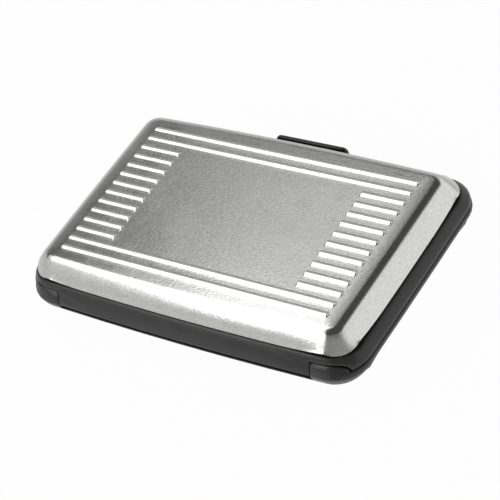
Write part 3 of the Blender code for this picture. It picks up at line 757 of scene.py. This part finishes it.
def wound_spring(finish):
    """Wind the torsion spring round the latch pin, with both legs up behind the press plate."""
    wire = 0.2 * MM
    turns = 3.5
    turn_steps = 28
    sides = 10
    centre_y = (LATCH_PIN_LOW.y + LATCH_PIN_HIGH.y) / 2
    centre_z = (LATCH_PIN_LOW.z + LATCH_PIN_HIGH.z) / 2
    radius = (SPRING_HIGH.y - SPRING_LOW.y) / 2 - wire
    half = SPRING_HIGH.x - wire
    leg = SPRING_HIGH.z
    points = [(-half, centre_y - radius, leg)]
    count = round(turns * turn_steps)
    for i in range(count + 1):
        angle = pi + 2 * pi * turns * i / count
        x = -half + 2 * half * i / count
        points.append((x, centre_y + radius * cos(angle), centre_z + radius * sin(angle)))
    points.append((half, centre_y + radius, leg))
    bm = bmesh.new()
    loops = []
    for i, point in enumerate(points):
        here = Vector(point)
        ahead = Vector(points[min(i + 1, len(points) - 1)])
        behind = Vector(points[max(i - 1, 0)])
        along = (ahead - behind).normalized()
        across = Vector((1, 0, 0)) - along * along.x
        across.normalize()
        other = along.cross(across)
        loop = []
        for side in range(sides):
            angle = 2 * pi * side / sides
            loop.append(bm.verts.new(here + wire * (across * cos(angle) + other * sin(angle))))
        loops.append(loop)
    for lower, upper in zip(loops, loops[1:]):
        join_loops(bm, lower, upper)
    bm.faces.new(loops[0])
    bm.faces.new(loops[-1])
    obj = finish_object("latch_spring_wire", bm, finish, smooth_angle=radians(50))
    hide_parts("latch_spring")
    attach(obj, "lid")


# Pocket fan


def pleat_section(near, settings):
    """Return a pleated film's closed section as (outward, z) points: in at each leaf, out between two."""
    pleats = DIVIDERS + 1
    pleat_steps = 10
    steps = pleat_steps * pleats
    face = []
    back = []
    for i in range(steps + 1):
        share = i / steps
        turn = 2 * pi * pleats * share
        out = near + settings.fold_depth * (0.5 - 0.5 * cos(turn))
        z = FAN_START + (FAN_END - FAN_START) * share
        face.append((out, z))
        back.append((out + settings.film, z))
    return face + back[::-1]


def pleated_film(name, node, section, low, high, side, finish, along_x=False):
    """Sweep a pleated section along one side of the fan."""
    bm = bmesh.new()
    ends = []
    for place in (low, high):
        if along_x:
            ends.append([bm.verts.new((place, side * out, z)) for out, z in section])
        else:
            ends.append([bm.verts.new((side * out, place, z)) for out, z in section])
    join_loops(bm, ends[0], ends[1])
    count = len(section)
    for end in ends:
        for i in range(count // 2 - 1):
            bm.faces.new((end[i], end[i + 1], end[count - 2 - i], end[count - 1 - i]))
    obj = finish_object(name, bm, finish, smooth_angle=radians(60))
    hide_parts(node)
    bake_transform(obj)


class CARDCASE_OT_fold_gussets(Operator):
    """Fold the pleated film that closes the pockets at both ends and along the hinge"""

    bl_idname = "card_case.fold_gussets"
    bl_label = "Fold Gussets"

    def execute(self, context):
        settings = context.scene.card_case_pockets
        finish = pocket_film(settings)
        for name, side in (("gusset_left", -1), ("gusset_right", 1)):
            low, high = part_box(name)
            near = min(abs(low.x), abs(high.x))
            section = pleat_section(near, settings)
            pleated_film(name + "_film", name, section, low.y, high.y, side, finish)
        name = "gusset_front"
        low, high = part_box(name)
        section = pleat_section(-high.y, settings)
        pleated_film(name + "_film", name, section, low.x, high.x, -1, finish, along_x=True)
        return {"FINISHED"}


def leaf_outline(low, high, inset, radius):
    """Return a leaf's outline, anticlockwise from the hinge side's left, round at the mouth's corners."""
    least_radius = 0.2 * MM
    steps = 6
    left, right = low.x + inset, high.x - inset
    front, back = low.y + inset, high.y - inset
    turn = max(radius - inset, least_radius)
    points = [(left, front), (right, front)]
    for centre_x, start in ((right - turn, 0), (left + turn, pi / 2)):
        for step in range(steps + 1):
            angle = start + pi / 2 * step / steps
            points.append((centre_x + turn * cos(angle), back - turn + turn * sin(angle)))
    return points


def pocket_leaf(name, node, body, settings, finish):
    """Make one leaf of the fan: a thin sheet between slightly thicker welded hems."""
    low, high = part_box(node)
    middle = (low.z + high.z) / 2
    half = (high.z - low.z) / 2
    thin = half * 0.55
    edge = half * 0.6
    edge_rounding = 0.08 * MM
    hem_foot = settings.hem * 1.15
    bm = bmesh.new()
    levels = []
    for inset, rise in (
        (hem_foot, -thin),
        (settings.hem, -half),
        (edge_rounding, -half),
        (0.0, -edge),
        (0.0, edge),
        (edge_rounding, half),
        (settings.hem, half),
        (hem_foot, thin),
    ):
        points = leaf_outline(low, high, inset, settings.mouth_radius)
        levels.append([bm.verts.new((x, y, middle + rise)) for x, y in points])
    for lower, upper in zip(levels, levels[1:]):
        join_loops(bm, lower, upper)
    bm.faces.new(levels[0])
    bm.faces.new(levels[-1])
    obj = finish_object(name, bm, finish, smooth_angle=radians(25))
    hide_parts(node)
    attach(obj, body)


class CARDCASE_OT_lay_leaves(Operator):
    """Lay the outer sheets and the dividers of the pocket fan"""

    bl_idname = "card_case.lay_leaves"
    bl_label = "Lay Leaves"

    def execute(self, context):
        settings = context.scene.card_case_pockets
        finish = pocket_film(settings)
        pocket_leaf("pocket_sheet_lower_film", "pocket_sheet_lower", "base", settings, finish)
        for index in range(1, DIVIDERS + 1):
            node = f"divider_{index}"
            pocket_leaf(node + "_film", node, f"leaf_{index}", settings, finish)
        pocket_leaf("pocket_sheet_upper_film", "pocket_sheet_upper", "lid", settings, finish)
        return {"FINISHED"}


class CARDCASE_OT_lay_tapes(Operator):
    """Finish the foam tapes that hold the fan to the covers"""

    bl_idname = "card_case.lay_tapes"
    bl_label = "Lay Tapes"

    def execute(self, context):
        finish = foam_tape(context.scene.card_case_pockets)
        group = shading_group()
        for name in ("tape_lower", "tape_upper"):
            finish_node(name, finish, TAPE_ROUNDING, group)
        return {"FINISHED"}


# Stage


def pale_floor(settings):
    """Make the pale floor, which stays white to the eye and in the metal and keeps the case's shadow."""
    steps = 96
    bm = bmesh.new()
    rim = []
    for i in range(steps):
        angle = 2 * pi * i / steps
        place = (settings.floor_radius * cos(angle), settings.floor_radius * sin(angle), 0.0)
        rim.append(bm.verts.new(place))
    bm.faces.new(rim)
    mesh = bpy.data.meshes.new("floor")
    bm.to_mesh(mesh)
    bm.free()
    obj = bpy.data.objects.new("floor", mesh)
    bpy.context.scene.collection.objects.link(obj)
    made, tree, shader = new_finish("pale_floor", settings.floor_colour, roughness=0.9)
    shader.inputs["Specular IOR Level"].default_value = 0.0
    glow = tree.nodes.new("ShaderNodeEmission")
    glow.inputs["Color"].default_value = (1.0, 1.0, 1.0, 1.0)
    glow.inputs["Strength"].default_value = 1.0
    path = tree.nodes.new("ShaderNodeLightPath")
    share = tree.nodes.new("ShaderNodeMix")
    place = tree.nodes.new("ShaderNodeTexCoord").outputs["Object"]
    towards = facing(tree, place, FLOOR_FRONT)
    reflected = soft_step(
        tree, towards, start=-0.06, end=0.04, low=settings.back_glow, high=settings.front_glow
    )
    tree.links.new(reflected, share.inputs["A"])
    share.inputs["B"].default_value = settings.seen_glow
    tree.links.new(path.outputs["Is Camera Ray"], share.inputs["Factor"])
    lit = combine(tree, "MAXIMUM", path.outputs["Is Camera Ray"], path.outputs["Is Glossy Ray"])
    mix = tree.nodes.new("ShaderNodeMixShader")
    glowing = combine(tree, "MULTIPLY", share.outputs["Result"], lit)
    tree.links.new(glowing, mix.inputs["Fac"])
    tree.links.new(shader.outputs["BSDF"], mix.inputs[1])
    tree.links.new(glow.outputs["Emission"], mix.inputs[2])
    output = tree.nodes["Material Output"]
    tree.links.new(mix.outputs["Shader"], output.inputs["Surface"])
    mesh.materials.append(made)


def facing(tree, heading, direction):
    """Return how far a heading faces a direction, from -1 to 1."""
    dot = tree.nodes.new("ShaderNodeVectorMath")
    dot.operation = "DOT_PRODUCT"
    dot.inputs[1].default_value = direction
    tree.links.new(heading, dot.inputs[0])
    return dot.outputs["Value"]


def soft_step(tree, value, start, end, low, high):
    """Return a value that goes softly from low at the start to high at the end."""
    step = tree.nodes.new("ShaderNodeMapRange")
    step.interpolation_type = "SMOOTHSTEP"
    step.inputs["From Min"].default_value = start
    step.inputs["From Max"].default_value = end
    step.inputs["To Min"].default_value = low
    step.inputs["To Max"].default_value = high
    tree.links.new(value, step.inputs["Value"])
    return step.outputs["Result"]


def combine(tree, operation, first, second):
    """Return two values combined by a math node."""
    node = tree.nodes.new("ShaderNodeMath")
    node.operation = operation
    tree.links.new(first, node.inputs[0])
    tree.links.new(second, node.inputs[1])
    return node.outputs["Value"]


def studio_room(settings):
    """Light the room: pale walls, darker behind the viewer, and a dim ceiling with a pale gap."""
    world = bpy.data.worlds.new("studio_room")
    bpy.context.scene.world = world
    world.use_nodes = True
    tree = world.node_tree
    heading = tree.nodes.new("ShaderNodeTexCoord").outputs["Generated"]
    upwards = facing(tree, heading, UPWARDS)
    walls = soft_step(tree, upwards, start=0.45, end=0.68, low=1.0, high=0.0)
    rightwards = facing(tree, heading, RIGHTWARDS)
    paleness = soft_step(
        tree, rightwards, start=-0.4, end=0.4, low=settings.far_wall, high=settings.near_wall
    )
    near_viewer = facing(tree, heading, VIEWER_HEADING)
    viewer = soft_step(tree, near_viewer, start=0.6, end=0.92, low=1.0, high=settings.viewer_wall)
    near_gap = facing(tree, heading, GAP_HEADING)
    gap = soft_step(
        tree, near_gap, start=cos(GAP_OUTER), end=cos(GAP_INNER), low=0.0, high=settings.gap_light
    )
    light = combine(tree, "MULTIPLY", combine(tree, "MULTIPLY", walls, paleness), viewer)
    light = combine(tree, "ADD", light, gap)
    everywhere = tree.nodes.new("ShaderNodeMath")
    everywhere.operation = "ADD"
    everywhere.inputs[1].default_value = settings.ceiling
    tree.links.new(light, everywhere.inputs[0])
    tree.links.new(everywhere.outputs["Value"], tree.nodes["Background"].inputs["Color"])
    tree.nodes["Background"].inputs["Strength"].default_value = 1.0


def key_lamp(settings):
    """Hang the long soft lamp over the case's left front, facing it."""
    light = bpy.data.lights.new("key_lamp", "AREA")
    light.shape = "RECTANGLE"
    light.size = settings.key_width
    light.size_y = settings.key_length
    light.energy = settings.key_light
    lamp = bpy.data.objects.new("key_lamp", light)
    bpy.context.scene.collection.objects.link(lamp)
    towards = Vector(KEY_DIRECTION).normalized()
    along = Vector(KEY_ALONG)
    along = (along - towards * along.dot(towards)).normalized()
    turn = Matrix((along.cross(towards), along, towards)).transposed().to_4x4()
    lamp.matrix_world = Matrix.Translation(towards * KEY_DISTANCE) @ turn


def place_camera(settings):
    """Set the camera at its place, turned by its azimuth, elevation and lean."""
    flat = cos(CAMERA_ELEVATION)
    forward = Vector((-sin(CAMERA_AZIMUTH) * flat, cos(CAMERA_AZIMUTH) * flat, -sin(CAMERA_ELEVATION)))
    level = Vector((cos(CAMERA_AZIMUTH), sin(CAMERA_AZIMUTH), 0.0))
    upright = level.cross(forward)
    right = level * cos(CAMERA_LEAN) + upright * sin(CAMERA_LEAN)
    up = upright * cos(CAMERA_LEAN) - level * sin(CAMERA_LEAN)
    camera = bpy.data.objects.new("camera", bpy.data.cameras.new("camera"))
    bpy.context.scene.collection.objects.link(camera)
    camera.data.lens = settings.lens
    camera.data.sensor_width = SENSOR_WIDTH
    camera.data.clip_start = 10 * MM
    turn = Matrix((right, up, -forward)).transposed().to_4x4()
    camera.matrix_world = Matrix.Translation(Vector(CAMERA_PLACE)) @ turn
    bpy.context.scene.camera = camera


class CARDCASE_OT_set_stage(Operator):
    """Lay the floor, light the room and set the camera"""

    bl_idname = "card_case.set_stage"
    bl_label = "Set Stage"

    def execute(self, context):
        settings = context.scene.card_case_stage
        context.scene.view_settings.view_transform = "Standard"
        pale_floor(settings)
        studio_room(settings)
        key_lamp(settings)
        place_camera(settings)
        return {"FINISHED"}


class CARDCASE_PT_pieces(Panel):
    """The case's pieces and their settings"""

    bl_idname = "CARDCASE_PT_pieces"
    bl_label = "Card Case"
    bl_space_type = "VIEW_3D"
    bl_region_type = "UI"
    bl_category = "Card Case"

    def draw(self, context):
        scene = context.scene
        groups = (
            (scene.card_case_covers, ("press_covers",)),
            (scene.card_case_mouldings, ("finish_mouldings", "finish_steel")),
            (scene.card_case_pockets, ("fold_gussets", "lay_leaves", "lay_tapes")),
            (scene.card_case_stage, ("set_stage",)),
        )
        for settings, operators in groups:
            box = self.layout.box()
            for name in settings.__annotations__:
                box.prop(settings, name)
            for operator in operators:
                box.operator("card_case." + operator)


CLASSES = (
    CoverSettings,
    MouldingSettings,
    PocketSettings,
    StageSettings,
    CARDCASE_OT_press_covers,
    CARDCASE_OT_finish_mouldings,
    CARDCASE_OT_finish_steel,
    CARDCASE_OT_fold_gussets,
    CARDCASE_OT_lay_leaves,
    CARDCASE_OT_lay_tapes,
    CARDCASE_OT_set_stage,
    CARDCASE_PT_pieces,
)


def register():
    """Register the classes and hang the settings on the scene."""
    for cls in CLASSES:
        bpy.utils.register_class(cls)
    bpy.types.Scene.card_case_covers = PointerProperty(type=CoverSettings)
    bpy.types.Scene.card_case_mouldings = PointerProperty(type=MouldingSettings)
    bpy.types.Scene.card_case_pockets = PointerProperty(type=PocketSettings)
    bpy.types.Scene.card_case_stage = PointerProperty(type=StageSettings)


def unregister():
    """Take the settings and the classes away again."""
    del bpy.types.Scene.card_case_covers
    del bpy.types.Scene.card_case_mouldings
    del bpy.types.Scene.card_case_pockets
    del bpy.types.Scene.card_case_stage
    for cls in reversed(CLASSES):
        bpy.utils.unregister_class(cls)


def main():
    """Make every piece and the stage."""
    register()
    bpy.ops.card_case.press_covers()
    bpy.ops.card_case.finish_mouldings()
    bpy.ops.card_case.finish_steel()
    bpy.ops.card_case.fold_gussets()
    bpy.ops.card_case.lay_leaves()
    bpy.ops.card_case.lay_tapes()
    bpy.ops.card_case.set_stage()


if __name__ == "__main__":
    main()
